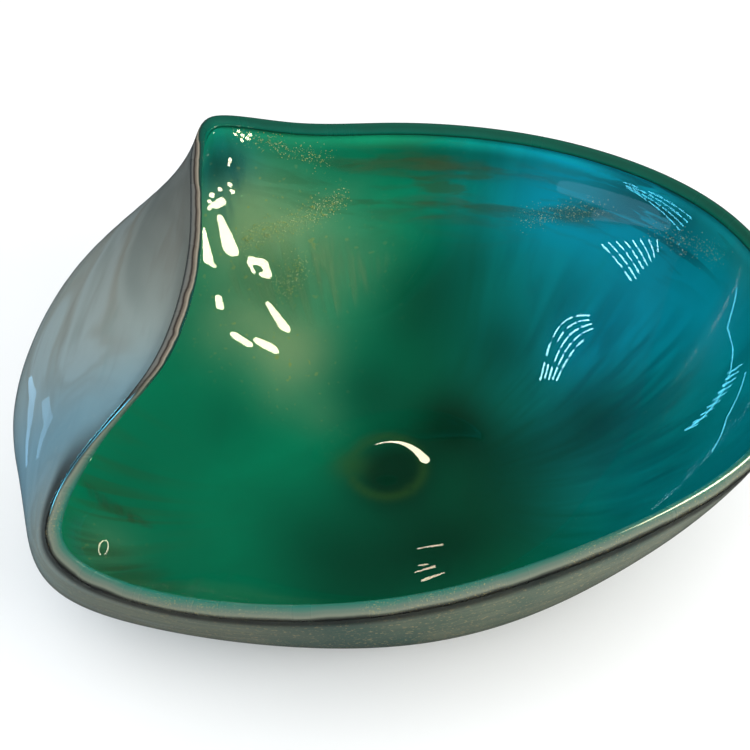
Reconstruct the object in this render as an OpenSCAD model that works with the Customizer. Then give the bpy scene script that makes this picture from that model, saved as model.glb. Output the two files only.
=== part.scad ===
// Folded art glass bowl, hand-blown and cased in layers.
//
// One wall surface is lofted round the bowl through a row of stations. Each station is a profile
// that runs from the flat of the base, out through a belly and a shoulder, up to the rim. The
// layers of glass, the colour bands and the metal flecks all lie below that one surface, at shares
// of the wall's thickness, where 0 is the outside of the bowl and 1 is the inside.
//
// +Z is up and +X runs along the bowl, away from its folded side. The origin is under the middle of
// the bowl's outline, on the plane that it stands on.

/* [Bowl] */
// Overall length along X; the outline and the heights follow it
bowl_l = 238; // [200:1:280]
// Radius of the flat of the base, where the wall starts
base_r = 34; // [28:1:38]
// How far the folded side curls in over the bowl, as a share of the full curl
fold_curl = 1; // [0.8:0.05:1]

/* [Glass wall] */
// Thickness of the wall over the base
wall_base = 6.4; // [5.6:0.1:7]
// Thickness of the wall just under the rim, where the rim is lowest
wall_rim = 4.6; // [4:0.1:5.2]
// Share of the rim's thickness that is lost where the corner was pulled up
stretch = 0.25; // [0:0.05:0.3]

/* [Lip and foot] */
// Height of the glass trail wrapped round the rim
lip_h = 3; // [2:0.1:4]
// How far the lip swells past each face of the wall
lip_swell = 0.5; // [0:0.1:0.8]
// Height of the ground foot
foot_h = 3; // [2.5:0.5:5]
// How far the foot is set in from the edge of the base
foot_inset = 3; // [2:0.5:6]
// Radius of the polished hollow where the pontil rod was cracked off
pontil_r = 13; // [8:1:16]
// Depth of that hollow
pontil_d = 1.2; // [0.5:0.1:1.6]

/* [Hidden] */

// Stations round the bowl, anticlockwise from +X. The columns are: angle, rim radius, rim height,
// shoulder radius less rim radius, shoulder height over rim height, belly radius less rim radius,
// belly height over rim height. Where the radii grow below the rim, the wall folds over.
drawn_l = 238;
stations = [
    [  2, 120,  80, -5, 0.66, -28, 0.20],
    [ 28, 122,  83, -6, 0.66, -30, 0.20],
    [ 52, 108,  86, -6, 0.66, -26, 0.20],
    [ 74,  96,  90, -6, 0.66, -24, 0.20],
    [ 96,  90,  94, -6, 0.66, -22, 0.20],
    [116,  89,  98, -6, 0.68, -18, 0.22],
    [132, 107, 107, -8, 0.84,  -6, 0.32],
    [143,  88, 106, 16, 0.96,  34, 0.46],
    [160,  71,  98, 60, 1.00,  82, 0.50],
    [182,  71,  90, 70, 0.95,  83, 0.34],
    [193,  80,  84, 56, 0.90,  62, 0.28],
    [199, 104,  70, 26, 0.80,  36, 0.24],
    [207, 122,  59,  6, 0.66,  10, 0.22],
    [218, 112,  54, -6, 0.60,  -5, 0.22],
    [238,  92,  55, -8, 0.60,  -8, 0.20],
    [268,  78,  59, -4, 0.66,  -6, 0.20],
    [298,  77,  65, -2, 0.68,  -6, 0.20],
    [322,  89,  71, -4, 0.70, -12, 0.20],
    [340, 106,  76, -4, 0.70, -20, 0.20]
];
n = len(stations);
size_k = bowl_l / drawn_l;

// The foot's middle, which the stations' radii are measured from, is a little off the outline's
foot_at = [4.7, -6.6] * size_k;
rim_low = min([for (s = stations) s[2]]);
rim_high = max([for (s = stations) s[2]]);

// Where the profile leaves the base flat, as a share of the way out to the belly
heel = 0.55;

// Facets: columns for each station, rows up the wall, steps over the lip
cols = 3;
rows = 14;
lip_steps = 7;

// Shares of the wall's thickness at which each layer starts and ends, from the outside in. The
// fused joints between layers are drawn with a hair's gap, so that each layer is its own solid.
gap = 0.004;
outer_casing_in = [0, 0.36];
pearl_in = [0.36 + gap, 0.44];
emerald_in = [0.44 + gap, 0.55];
blooms_in = [0.56, 0.58];
bands_in = [0.585, 0.605];
flecks_in = 0.625;
inner_casing_in = [0.64, 1];

// Height of a metal flake, and the range of its radius
fleck_h = 0.06;
fleck_r = [0.35, 0.65];

// Colours
smoke = "#7f8689";
pearl = "#b9b7b4";
emerald = "#0b6b4f";
sea_green = "#3f9c84";
teal = "#006270";
olive = "#4a6a42";
pale_green = "#6c9a6c";
amber = "#6a5430";
gold = "#c9a23a";

// ---- The wall surface ----

// Weights of the four stations around a place between two of them (uniform cubic B-spline), and
// how fast they change
function spline(t) = [(1 - t)^3, 3*t^3 - 6*t^2 + 4, -3*t^3 + 3*t^2 + 3*t + 1, t^3] / 6;
function spline_d(t) = [-3*(1 - t)^2, 9*t^2 - 12*t, -9*t^2 + 6*t + 3, 3*t^2] / 6;

// Weights of a profile's five points (Bezier of degree four), and of the four steps between them
function bezier(v) = [(1 - v)^4, 4*v*(1 - v)^3, 6*v^2*(1 - v)^2, 4*v^3*(1 - v), v^4];
function bezier_d(v) = 4 * [(1 - v)^3, 3*v*(1 - v)^2, 3*v^2*(1 - v), v^3];

function polar(r, a, z) = [foot_at.x + r*cos(a), foot_at.y + r*sin(a), z];
function unit(p) = p / norm(p);

// The five points of one station's profile: base edge, heel, belly, shoulder and rim
function profile(s) = let (
        a = s[0],
        rim = s[1] * size_k,
        high = s[2]*size_k - foot_h,
        shoulder = rim + s[3]*size_k*(s[3] > 0 ? fold_curl : 1),
        belly = rim + s[5]*size_k*(s[5] > 0 ? fold_curl : 1)
    ) [
        polar(base_r, a, foot_h),
        polar(base_r + heel*(belly - base_r), a, foot_h),
        polar(belly, a, foot_h + s[6]*high),
        polar(shoulder, a, foot_h + s[4]*high),
        polar(rim, a, foot_h + high)
    ];
profiles = [for (s = stations) profile(s)];

// The profile at u stations round the bowl, and how fast it changes with u
function blend(u, w) = [
    for (m = [0:4]) w * [for (j = [0:3]) profiles[(floor(u) + j - 1 + 2*n) % n][m]]
];
function profile_at(u) = blend(u, spline(u - floor(u)));
function profile_turn(u) = blend(u, spline_d(u - floor(u)));

function point(u, v) = bezier(v) * profile_at(u);
function steps(p) = [for (m = [0:3]) p[m + 1] - p[m]];
function upward(u, v) = unit(bezier_d(v) * steps(profile_at(u)));
function outward(u, v) = unit(cross(bezier(v) * profile_turn(u), upward(u, v)));

// The wall thins from base to rim, and most where the rim was pulled up
function lift(u) = (profile_at(u)[4].z/size_k - rim_low) / (rim_high - rim_low);
function rim_thickness(u) = wall_rim * (1 - stretch*max(0, min(1, lift(u))));
function thickness(u, v) = wall_base + (rim_thickness(u) - wall_base)*v;

// A point in the glass at a share of the wall's thickness below the outside
function in_wall(u, v, share) = point(u, v) - outward(u, v)*share*thickness(u, v);

// The same on the facets of a layer: column c at any height, or anywhere between two columns
function on_column(c, v, share) = let (j = min(floor(v*rows), rows - 1))
    mix(in_wall(c/cols, j/rows, share), in_wall(c/cols, (j + 1)/rows, share), v*rows - j);
function on_facet(c, v, share) =
    mix(on_column(floor(c), v, share), on_column(floor(c) + 1, v, share), c - floor(c));
function mix(a, b, t) = a + (b - a)*t;

// ---- Solids made from rings of points ----

// A quad as two triangles. Both sides of a layer are split from the low corner at one column to
// the high corner at the next, so that the sides stay parallel where the wall twists.
function quad(p, q, r, s, turned = false) = turned ? [[p, q, s], [q, r, s]] : [[p, q, r], [p, r, s]];

// Quads between two rings of count points each
function strip(a, b, count, turned = false) = [
    for (i = [0:count - 1]) let (j = (i + 1) % count)
        each quad(a + i, b + i, b + j, a + j, turned)
];

// One layer of the bowl between two shares of the wall, closed over the base and at the rim
module layer(shares) {
    count = n * cols;
    function row(v, share) = [for (i = [0:count - 1]) in_wall(i/cols, v, share)];
    function middle(share) = polar(0, 0, foot_h + share*wall_base);
    outside = [for (j = [0:rows]) each row(j/rows, shares[0])];
    inside = [for (j = [rows:-1:0]) each row(j/rows, shares[1])];
    last = 2*rows + 1;
    bottom = (last + 1) * count;
    polyhedron(
        concat(outside, inside, [middle(shares[0]), middle(shares[1])]),
        concat(
            [for (j = [0:last - 1]) each strip(j*count, (j + 1)*count, count, j > rows)],
            [for (i = [0:count - 1]) [bottom, i, (i + 1) % count]],
            [for (i = [0:count - 1]) [bottom + 1, last*count + (i + 1) % count, last*count + i]]
        ),
        convexity = 8
    );
}

// A thin patch of colour that lies on the facets from one column to a later one. Its middle runs
// between two heights and it is widest half way along.
module patch(columns, heights, width, shares, across = 3) {
    span = columns[1] - columns[0];
    sides = 2*across + 2;
    end = span * sides;
    function height(s, w) = mix(heights[0], heights[1], s) + (w - 0.5)*width*max(0.15, sin(180*s));
    function place(i, w, share) = on_column(columns[0] + i, height(i/span, w), share);
    polyhedron(
        [for (i = [0:span]) each concat(
            [for (j = [across:-1:0]) place(i, j/across, shares[0])],
            [for (j = [0:across]) place(i, j/across, shares[1])]
        )],
        concat(
            [for (i = [0:sides:end - 1], j = [0:sides - 1]) let (k = (j + 1) % sides)
                each quad(i + j, i + sides + j, i + sides + k, i + k, j < across)],
            [for (j = [0:across - 1]) each quad(sides - 1 - j, j, j + 1, sides - 2 - j)],
            [for (j = [0:across - 1])
                each quad(end + j, end + sides - 1 - j, end + sides - 2 - j, end + j + 1)]
        ),
        convexity = 4
    );
}

// Metal flakes between two columns and two heights: thin five-sided plates that lie in the glass.
// The golden ratio spreads them across the strip without any two meeting.
module flecks(columns, heights, width, count) {
    golden = 0.618034;
    for (i = [0:count - 1]) {
        s = (i + 0.5) / count;
        w = (i*golden) % 1;
        c = mix(columns[0], columns[1], s);
        v = mix(heights[0], heights[1], s) + (w - 0.5)*width;
        z = outward(c/cols, v);
        x = upward(c/cols, v);
        y = cross(z, x);
        p = on_facet(c, v, flecks_in);
        multmatrix([
            [x[0], y[0], z[0], p[0]],
            [x[1], y[1], z[1], p[1]],
            [x[2], y[2], z[2], p[2]],
            [0, 0, 0, 1]
        ])
            rotate(360 * w)
                cylinder(h = fleck_h, r = mix(fleck_r[0], fleck_r[1], sin(180*w)), $fn = 5);
    }
}

// ---- Pieces ----

// Ground foot of clear smoky glass that the bowl stands on
module foot() {
    bevel = 0.8;
    foot_r = base_r - foot_inset;
    top = foot_h - gap*wall_base;
    hollow_r = (pontil_r^2 + pontil_d^2) / (2*pontil_d);
    color(smoke)
    translate(foot_at)
    difference() {
        rotate_extrude($fn = 96)
            polygon([[0, 0], [foot_r - bevel, 0], [foot_r, bevel], [foot_r, top], [0, top]]);
        translate([0, 0, pontil_d - hollow_r])
            sphere(r = hollow_r, $fn = 96);
    }
}

// Outer gather of smoky grey glass
module outer_casing() {
    color(smoke) layer(outer_casing_in);
}

// Thin opaque pearl glass that hides the green from outside
module pearl_layer() {
    color(pearl) layer(pearl_in);
}

// Colour layer that is seen from inside the bowl
module emerald_layer() {
    color(emerald) layer(emerald_in);
}

// Clear sea-green gather that covers the colour on the inside
module inner_casing() {
    color(sea_green) layer(inner_casing_in);
}

// Trail of glass wrapped round the rim and fire-polished, which closes the ends of the layers
module lip_wrap() {
    count = n * cols;
    sides = lip_steps + 1;
    function section(u) = let (
            t = rim_thickness(u),
            out = outward(u, 1),
            up = upward(u, 1),
            middle = in_wall(u, 1, 0.5)
        ) [
            for (q = [0:lip_steps]) let (a = 180*q/lip_steps)
                middle - out*cos(a)*(t/2 + lip_swell*sin(a)^2) + up*(gap*t + lip_h*sin(a))
        ];
    color(smoke)
    polyhedron(
        [for (i = [0:count - 1]) each section(i/cols)],
        [for (i = [0:count - 1]) each strip(i*sides, ((i + 1) % count)*sides, sides)],
        convexity = 8
    );
}

module teal_sweep_right() {
    color(teal) patch([-4, 7], [0.40, 0.58], 0.36, blooms_in, across = 6);
}

module olive_bloom_near() {
    color(olive) patch([30, 38], [0.46, 0.32], 0.16, blooms_in);
}

module pale_bloom_fold() {
    color(pale_green) patch([12, 18], [0.62, 0.50], 0.30, blooms_in, across = 5);
}

module teal_band_peak() {
    color(teal) patch([17, 19], [0.88, 0.68], 0.16, bands_in);
}

module amber_band_high() {
    color(amber) patch([9, 15], [0.92, 0.89], 0.04, bands_in);
}

module amber_band_far() {
    color(amber) patch([8, 14], [0.78, 0.80], 0.06, bands_in);
}

module amber_band_right() {
    color(amber) patch([4, 7], [0.90, 0.80], 0.05, bands_in);
}

module amber_band_near() {
    color(amber) patch([27, 30], [0.42, 0.26], 0.05, bands_in);
}

// Pale threads trailed over the colour before the last gather
module pale_threads() {
    color(pale_green) {
        patch([24, 28], [0.36, 0.12], 0.016, bands_in, across = 1);
        patch([31, 36], [0.20, 0.12], 0.014, bands_in, across = 1);
    }
}

module gold_flecks_peak() {
    color(gold) flecks([14.5, 16.5], [0.95, 0.93], 0.05, 18);
}

module gold_flecks_fold() {
    color(gold) flecks([13.5, 17], [0.80, 0.60], 0.07, 30);
}

module gold_flecks_low() {
    color(gold) flecks([15, 16], [0.58, 0.44], 0.05, 14);
}

module gold_flecks_far() {
    color(gold) flecks([5.5, 8.2], [0.86, 0.78], 0.07, 24);
}

module gold_flecks_right() {
    color(gold) flecks([2.2, 4.6], [0.90, 0.86], 0.06, 22);
}

module gold_flecks_near() {
    color(gold) flecks([43, 54], [0.95, 0.95], 0.04, 40);
}

foot();
outer_casing();
pearl_layer();
emerald_layer();
inner_casing();
lip_wrap();
teal_sweep_right();
olive_bloom_near();
pale_bloom_fold();
teal_band_peak();
amber_band_high();
amber_band_far();
amber_band_right();
amber_band_near();
pale_threads();
gold_flecks_peak();
gold_flecks_fold();
gold_flecks_low();
gold_flecks_far();
gold_flecks_right();
gold_flecks_near();
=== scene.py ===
"""Looks of the folded art glass bowl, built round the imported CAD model.

The wall is cased glass: an opaque core of pearl and emerald between two clear gathers. Every
layer follows the same wall surface as its CAD node, at a much finer step. Lengths are in
millimetres until a mesh is made.
"""
import math

import bmesh
import bpy
import numpy as np
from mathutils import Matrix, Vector

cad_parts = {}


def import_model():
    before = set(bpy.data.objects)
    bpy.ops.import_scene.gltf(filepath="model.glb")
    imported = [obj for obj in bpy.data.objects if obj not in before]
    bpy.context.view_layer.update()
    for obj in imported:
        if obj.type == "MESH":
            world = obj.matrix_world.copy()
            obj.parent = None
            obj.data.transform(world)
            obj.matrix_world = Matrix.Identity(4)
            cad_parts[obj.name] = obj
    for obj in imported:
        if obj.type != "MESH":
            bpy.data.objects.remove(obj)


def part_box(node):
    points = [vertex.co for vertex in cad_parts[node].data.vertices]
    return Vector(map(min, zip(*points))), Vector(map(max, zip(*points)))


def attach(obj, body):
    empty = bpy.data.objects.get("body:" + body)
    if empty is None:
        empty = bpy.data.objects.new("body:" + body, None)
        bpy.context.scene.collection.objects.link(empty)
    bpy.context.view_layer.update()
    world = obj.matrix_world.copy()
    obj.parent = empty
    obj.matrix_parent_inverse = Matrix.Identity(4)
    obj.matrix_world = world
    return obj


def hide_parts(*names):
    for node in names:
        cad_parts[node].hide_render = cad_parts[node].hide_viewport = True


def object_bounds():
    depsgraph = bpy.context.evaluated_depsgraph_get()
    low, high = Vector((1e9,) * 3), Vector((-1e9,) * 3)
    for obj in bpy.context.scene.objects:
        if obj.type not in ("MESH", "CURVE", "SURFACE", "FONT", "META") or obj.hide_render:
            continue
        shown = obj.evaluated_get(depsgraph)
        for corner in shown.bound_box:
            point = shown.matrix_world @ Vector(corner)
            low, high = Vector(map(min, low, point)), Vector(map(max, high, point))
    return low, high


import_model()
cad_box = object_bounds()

MM = 0.001

# ---- The wall ----

# Stations round the bowl, the same as the CAD model's: angle, rim radius, rim height, shoulder
# (radius past the rim's, share of the height), belly (radius past the rim's, share of the height).
# A place on the wall is (u, v): u counts stations, from 0 at the right end, and v climbs from 0 at
# the edge of the floor to 1 at the rim.
STATIONS = np.array([
    (2, 120, 80, -5, 0.66, -28, 0.20),
    (28, 122, 83, -6, 0.66, -30, 0.20),
    (52, 108, 86, -6, 0.66, -26, 0.20),
    (74, 96, 90, -6, 0.66, -24, 0.20),
    (96, 90, 94, -6, 0.66, -22, 0.20),
    (116, 89, 98, -6, 0.68, -18, 0.22),
    (132, 107, 107, -8, 0.84, -6, 0.32),
    (143, 88, 106, 16, 0.96, 34, 0.46),
    (160, 71, 98, 60, 1.00, 82, 0.50),
    (182, 71, 90, 70, 0.95, 83, 0.34),
    (193, 80, 84, 56, 0.90, 62, 0.28),
    (199, 104, 70, 26, 0.80, 36, 0.24),
    (207, 122, 59, 6, 0.66, 10, 0.22),
    (218, 112, 54, -6, 0.60, -5, 0.22),
    (238, 92, 55, -8, 0.60, -8, 0.20),
    (268, 78, 59, -4, 0.66, -6, 0.20),
    (298, 77, 65, -2, 0.68, -6, 0.20),
    (322, 89, 71, -4, 0.70, -12, 0.20),
    (340, 106, 76, -4, 0.70, -20, 0.20),
])
TURN = len(STATIONS)

# Stations at the far side, the raised corner and the near side
FAR = 3
CORNER = 6
NEAR = 15

# Radius of the floor's edge, height of the foot, and how far from there towards the belly each
# profile's heel lies
BASE_R = 34
FOOT_H = 3
HEEL = 0.55

# Thickness of the wall at the floor and at the lowest rim, and how much of it the highest rim has
# lost
WALL_BASE = 6.4
WALL_RIM = 4.6
STRETCH = 0.25

# Height of the lip above the wall, and how far it swells past the wall's outside
LIP_H = 3
LIP_SWELL = 0.3

# Keeps the smooth wall inside the box of the CAD wall, whose facets cut its corners
FIT = 0.998

foot_low, foot_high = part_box("foot")
FOOT_AT = np.array([(foot_low.x + foot_high.x) / 2, (foot_low.y + foot_high.y) / 2, 0]) / MM

# Where each layer lies, as shares of the wall's thickness from the outside in. The core is
# sunk a little into the clear gathers, so that no air shows between them.
OUTER_GLASS = (0, 0.41)
PEARL = (0.37, 0.46)
EMERALD = (0.455, 0.56)
INNER_GLASS = (0.50, 1)
BLOOM = (0.555, 0.575)
BAND = (0.555, 0.59)
FLECK = 0.64

# Where the rod was broken off, a shallow dimple a little off the middle of the floor
PONTIL_AT = np.array([-9.0, 11.0])
PONTIL_R = 16.0
PONTIL_DEPTH = 0.7

# Steps of the layers' meshes, closer together near the rim
COLUMNS = TURN * 12
ROWS = np.concatenate([np.linspace(0, 0.9, 46), np.linspace(0.91, 1, 14)])
FLOOR_RINGS = 14


def profiles():
    """The five points of every station's profile."""
    angle, rim, high, shoulder, shoulder_z, belly, belly_z = STATIONS.T
    angle = np.radians(angle)
    belly = rim + belly
    radius = np.stack([
        np.full(TURN, BASE_R),
        BASE_R + HEEL * (belly - BASE_R),
        belly,
        rim + shoulder,
        rim,
    ], 1)
    none = np.zeros(TURN)
    height = np.stack([none, none, belly_z, shoulder_z, none + 1], 1)
    z = FOOT_H + height * (high[:, None] - FOOT_H)
    x = radius * np.cos(angle)[:, None]
    y = radius * np.sin(angle)[:, None]
    return np.stack([x, y, z], 2) * FIT + FOOT_AT


PROFILES = profiles()
RIM_LOW = STATIONS[:, 2].min()
RIM_HIGH = STATIONS[:, 2].max()


def unit(a):
    """Vectors of the same direction and a length of 1."""
    return a / np.linalg.norm(a, axis=-1, keepdims=True)


def wall(u, v):
    """Point on the outside, outward normal, upward direction and thickness at a place (u, v): a
    cubic B-spline round the stations and a Bezier curve up each profile."""
    u, v = np.broadcast_arrays(np.asarray(u, float), np.asarray(v, float))
    first = np.floor(u).astype(int)
    t = u - first
    near = PROFILES[(first[..., None] + np.arange(-1, 3)) % TURN]
    weight = np.stack([(1 - t)**3, 3*t**3 - 6*t**2 + 4, -3*t**3 + 3*t**2 + 3*t + 1, t**3], -1) / 6
    change = np.stack([-3*(1 - t)**2, 9*t**2 - 12*t, -9*t**2 + 6*t + 3, 3*t**2], -1) / 6
    profile = np.einsum("...j,...jmc->...mc", weight, near)
    turning = np.einsum("...j,...jmc->...mc", change, near)
    s = 1 - v
    share = np.stack([s**4, 4*v*s**3, 6*v**2*s**2, 4*v**3*s, v**4], -1)
    step = np.stack([s**3, 3*v*s**2, 3*v**2*s, v**3], -1)
    point = np.einsum("...m,...mc->...c", share, profile)
    along = np.einsum("...m,...mc->...c", share, turning)
    up = unit(np.einsum("...m,...mc->...c", step, np.diff(profile, axis=-2)))
    out = unit(np.cross(along, up))
    lift = np.clip((profile[..., 4, 2] - RIM_LOW) / (RIM_HIGH - RIM_LOW), 0, 1)
    rim = WALL_RIM * (1 - STRETCH * lift)
    return point, out, up, WALL_BASE + (rim - WALL_BASE) * v


def in_wall(u, v, share):
    """A point in the glass at a share of the thickness below the outside."""
    point, out, _, thick = wall(u, v)
    return dimple(point - out * (share * thick)[..., None], share)


def dimple(p, share):
    """Sinks the points over the pontil mark, most at the inside."""
    x, y = np.moveaxis((p - FOOT_AT)[..., :2] - PONTIL_AT, -1, 0)
    ring = np.clip(1 - (np.hypot(x, y) / PONTIL_R)**2, 0, None)**2
    q = p.copy()
    q[..., 2] -= PONTIL_DEPTH * share * ring
    return q


# ---- Meshes ----


def smooth_step(low, high, a):
    """0 up to low and 1 from high, with a smooth rise between them."""
    t = np.clip((a - low) / (high - low), 0, 1)
    return t * t * (3 - 2*t)


def bump(a, middle, half):
    """1 at the middle, fading to nothing past twice the half width."""
    return np.exp(-((a - middle) / half)**2)


def round_to(u, middle):
    """How far u is from a middle, the short way round."""
    return (u - middle + TURN/2) % TURN - TURN/2


def make(name, points, faces, stands_for, fields=None, smooth=True):
    """A piece of the bowl from points in millimetres, with a number or vector at each point."""
    mesh = bpy.data.meshes.new(name)
    mesh.from_pydata((np.asarray(points) * MM).tolist(), [], faces)
    mesh.validate()
    solid = bmesh.new()
    solid.from_mesh(mesh)
    bmesh.ops.recalc_face_normals(solid, faces=solid.faces)
    solid.to_mesh(mesh)
    solid.free()
    for key, values in (fields or {}).items():
        values = np.asarray(values, float)
        if values.ndim == 1:
            mesh.attributes.new(key, "FLOAT", "POINT").data.foreach_set("value", values)
        else:
            mesh.attributes.new(key, "FLOAT_VECTOR", "POINT").data.foreach_set("vector", values.ravel())
    if smooth:
        mesh.polygons.foreach_set("use_smooth", [True] * len(mesh.polygons))
    piece = bpy.data.objects.new(name, mesh)
    bpy.context.scene.collection.objects.link(piece)
    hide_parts(*stands_for)
    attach(piece, "root")
    return piece


def rings_to_faces(rings, count, start=0):
    """Quads between closed rings of count points each."""
    faces = []
    for j in range(rings - 1):
        a = start + j*count
        b = a + count
        faces += [(a + i, a + (i + 1) % count, b + (i + 1) % count, b + i) for i in range(count)]
    return faces


def side(share):
    """One side of a layer, from the middle of the floor up to the rim, with its place (u, v)."""
    u = np.arange(COLUMNS) / COLUMNS * TURN
    base = in_wall(u, 0.0 * u, share)
    centre = FOOT_AT + [0, 0, FOOT_H + share*WALL_BASE]
    rings = []
    places = []
    for k in range(1, FLOOR_RINGS):
        flat = centre + (base - centre) * (k / FLOOR_RINGS)
        flat[:, 2] = centre[2]
        rings.append(dimple(flat, share))
        places.append(np.stack([u, np.full_like(u, k/FLOOR_RINGS - 1)], 1))
    for v in ROWS:
        rings.append(in_wall(u, v + 0*u, share))
        places.append(np.stack([u, np.full_like(u, v)], 1))
    middle = dimple(centre[None], share)
    return middle, np.concatenate(rings), np.concatenate(places), len(rings)


def layer(name, shares, stands_for, paint=None):
    """A closed layer of glass between two shares of the wall. v runs from -1 at the middle of
    the floor to 0 at its edge and 1 at the rim."""
    low_mid, low, places, rings = side(shares[0])
    high_mid, high, _, _ = side(shares[1])
    count = COLUMNS
    n = rings * count
    points = np.concatenate([low, high, low_mid, high_mid])
    faces = rings_to_faces(rings, count) + rings_to_faces(rings, count, n)
    last = (rings - 1) * count
    faces += [(last + i, last + (i + 1) % count, n + last + (i + 1) % count, n + last + i)
              for i in range(count)]
    faces += [(2*n, (i + 1) % count, i) for i in range(count)]
    faces += [(2*n + 1, n + i, n + (i + 1) % count) for i in range(count)]
    both = np.concatenate([places, places, [[0, -1], [0, -1]]])
    fields = flow_of(both, points)
    if paint:
        fields.update(paint(both[:, 0], both[:, 1], points))
    return make(name, points, faces, stands_for, fields)


def flow_of(places, points):
    """Where a point is in the gather: a vector that winds round and climbs the wall, for
    streaks that run up the glass."""
    turn = places[:, 0] / TURN * 2 * np.pi
    climb = places[:, 1]
    reach = np.clip(1 + climb, 0, 1)
    flow = np.stack([np.cos(turn) * reach, np.sin(turn) * reach, climb], 1)
    return {"flow": flow, "climb": climb}


# ---- Materials ----


def srgb(*levels):
    """A linear colour from levels of 0 to 255."""
    def linear(c):
        c /= 255
        return c / 12.92 if c < 0.04045 else ((c + 0.055) / 1.055)**2.4
    return (*[linear(c) for c in levels], 1)


class Shader:
    """A material being wired up."""

    def __init__(self, name):
        self.material = bpy.data.materials.new(name)
        self.material.use_nodes = True
        self.tree = self.material.node_tree
        self.surface = self.tree.nodes["Principled BSDF"]
        self.output = self.tree.nodes["Material Output"]

    def set(self, **values):
        for key, value in values.items():
            self.plug(self.surface.inputs[key.replace("_", " ")], value)

    def plug(self, socket, value):
        if isinstance(value, bpy.types.NodeSocket):
            self.tree.links.new(value, socket)
        else:
            socket.default_value = value

    def node(self, kind, inputs, **settings):
        made = self.tree.nodes.new(kind)
        for key, value in settings.items():
            setattr(made, key, value)
        for key, value in inputs.items():
            self.plug(made.inputs[key], value)
        return made

    def field(self, name, vector=False):
        read = self.node("ShaderNodeAttribute", {}, attribute_name=name)
        return read.outputs["Vector" if vector else "Fac"]

    def stretch(self, vector, scale):
        return self.node("ShaderNodeMapping", {"Vector": vector, "Scale": scale}).outputs[0]

    def noise(self, vector, scale, detail=3, rough=0.5, warp=0):
        return self.node("ShaderNodeTexNoise", {
            "Vector": vector, "Scale": scale, "Detail": detail, "Roughness": rough,
            "Distortion": warp,
        }).outputs["Fac"]

    def grade(self, value, low, high, to_low=0, to_high=1):
        return self.node("ShaderNodeMapRange", {
            "Value": value, "From Min": low, "From Max": high, "To Min": to_low, "To Max": to_high,
        }, interpolation_type="SMOOTHSTEP").outputs[0]

    def math(self, how, a, b):
        return self.node("ShaderNodeMath", {0: a, 1: b}, operation=how).outputs[0]

    def mix(self, amount, a, b, how="MIX"):
        return self.node("ShaderNodeMix", {0: amount, 6: a, 7: b}, data_type="RGBA",
                         blend_type=how).outputs[2]

    def ramp(self, value, stops):
        made = self.node("ShaderNodeValToRGB", {0: value})
        made.color_ramp.interpolation = "EASE"
        ends = made.color_ramp.elements
        ends[0].position, ends[0].color = stops[0]
        ends[1].position, ends[1].color = stops[-1]
        for place, colour in stops[1:-1]:
            ends.new(place).color = colour
        return made.outputs[0]

    def bump(self, height, distance, strength=1.0):
        made = self.node("ShaderNodeBump", {
            "Height": height, "Distance": distance, "Strength": strength})
        self.plug(self.surface.inputs["Normal"], made.outputs[0])

    def place(self):
        return self.node("ShaderNodeTexCoord", {}).outputs["Object"]

    def absorb(self, colour, density):
        made = self.node("ShaderNodeVolumeAbsorption", {"Color": colour, "Density": density})
        self.tree.links.new(made.outputs[0], self.output.inputs["Volume"])


def clear_glass(name, tint, density, rough, wave):
    """Clear coloured glass with the slow waves of a blown surface."""
    shader = Shader(name)
    place = shader.place()
    shader.set(
        Base_Color=(1, 1, 1, 1),
        Roughness=shader.grade(shader.noise(place, 60), 0.35, 0.75, rough, 2*rough),
        IOR=1.5,
        Transmission_Weight=1.0,
    )
    shader.bump(shader.noise(place, 22, detail=1.5), wave)
    shader.absorb(tint, density)
    return shader.material


def pearl_material():
    """Silvery pearl glass, banded along the rim like agate, olive and gold on the near side, with a
    painted blue reflection at the left end, painted shade on the fold's upper outside and a painted
    shade line under the lip.
    """
    shader = Shader("pearl")
    flow = shader.field("flow", vector=True)
    place = shader.place()
    band = shader.noise(shader.stretch(flow, (1.2, 1.2, 6)), 1.3, detail=3, rough=0.42, warp=0.9)
    fine = shader.noise(shader.stretch(flow, (1.4, 1.4, 30)), 2, detail=3, rough=0.5, warp=0.3)
    cloud = shader.noise(place, 22, detail=4)
    colour = shader.ramp(band, [
        (0.30, srgb(178, 190, 182)), (0.44, srgb(200, 211, 202)), (0.52, srgb(194, 197, 184)),
        (0.60, srgb(210, 221, 214)), (0.74, srgb(188, 198, 188)),
    ])
    colour = shader.mix(shader.grade(fine, 0.56, 0.72, 0, 0.2), colour, srgb(150, 136, 120))
    colour = shader.mix(shader.grade(fine, 0.44, 0.30, 0, 0.2), colour, srgb(150, 172, 162))
    # painted shade: brown darkening on the upper outside of the fold
    colour = shader.mix(shader.field("fold_top_shade"), colour, srgb(84, 76, 68))
    # painted reflection: blue window light on the left end of the fold
    colour = shader.mix(shader.field("blue_reflection"), colour, srgb(134, 192, 214))
    near = shader.field("near")
    dust = shader.grade(shader.noise(place, 900, detail=2), 0.57, 0.68, 0, 0.8)
    near_colour = shader.mix(shader.grade(cloud, 0.4, 0.62), srgb(96, 130, 116), srgb(156, 166, 140))
    near_colour = shader.mix(shader.grade(fine, 0.45, 0.62, 0, 0.6), near_colour, srgb(118, 136, 122))
    near_colour = shader.mix(dust, near_colour, srgb(206, 194, 150))
    colour = shader.mix(near, colour, near_colour)
    # painted shade: a near-black line just under the lip
    colour = shader.mix(shader.field("line"), colour, srgb(14, 22, 20))
    shader.set(Base_Color=colour, Metallic=0.05, Specular_IOR_Level=0.4,
               Roughness=shader.grade(fine, 0.3, 0.7, 0.28, 0.46))
    shader.bump(fine, 0.0002, 0.4)
    return shader.material


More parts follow.
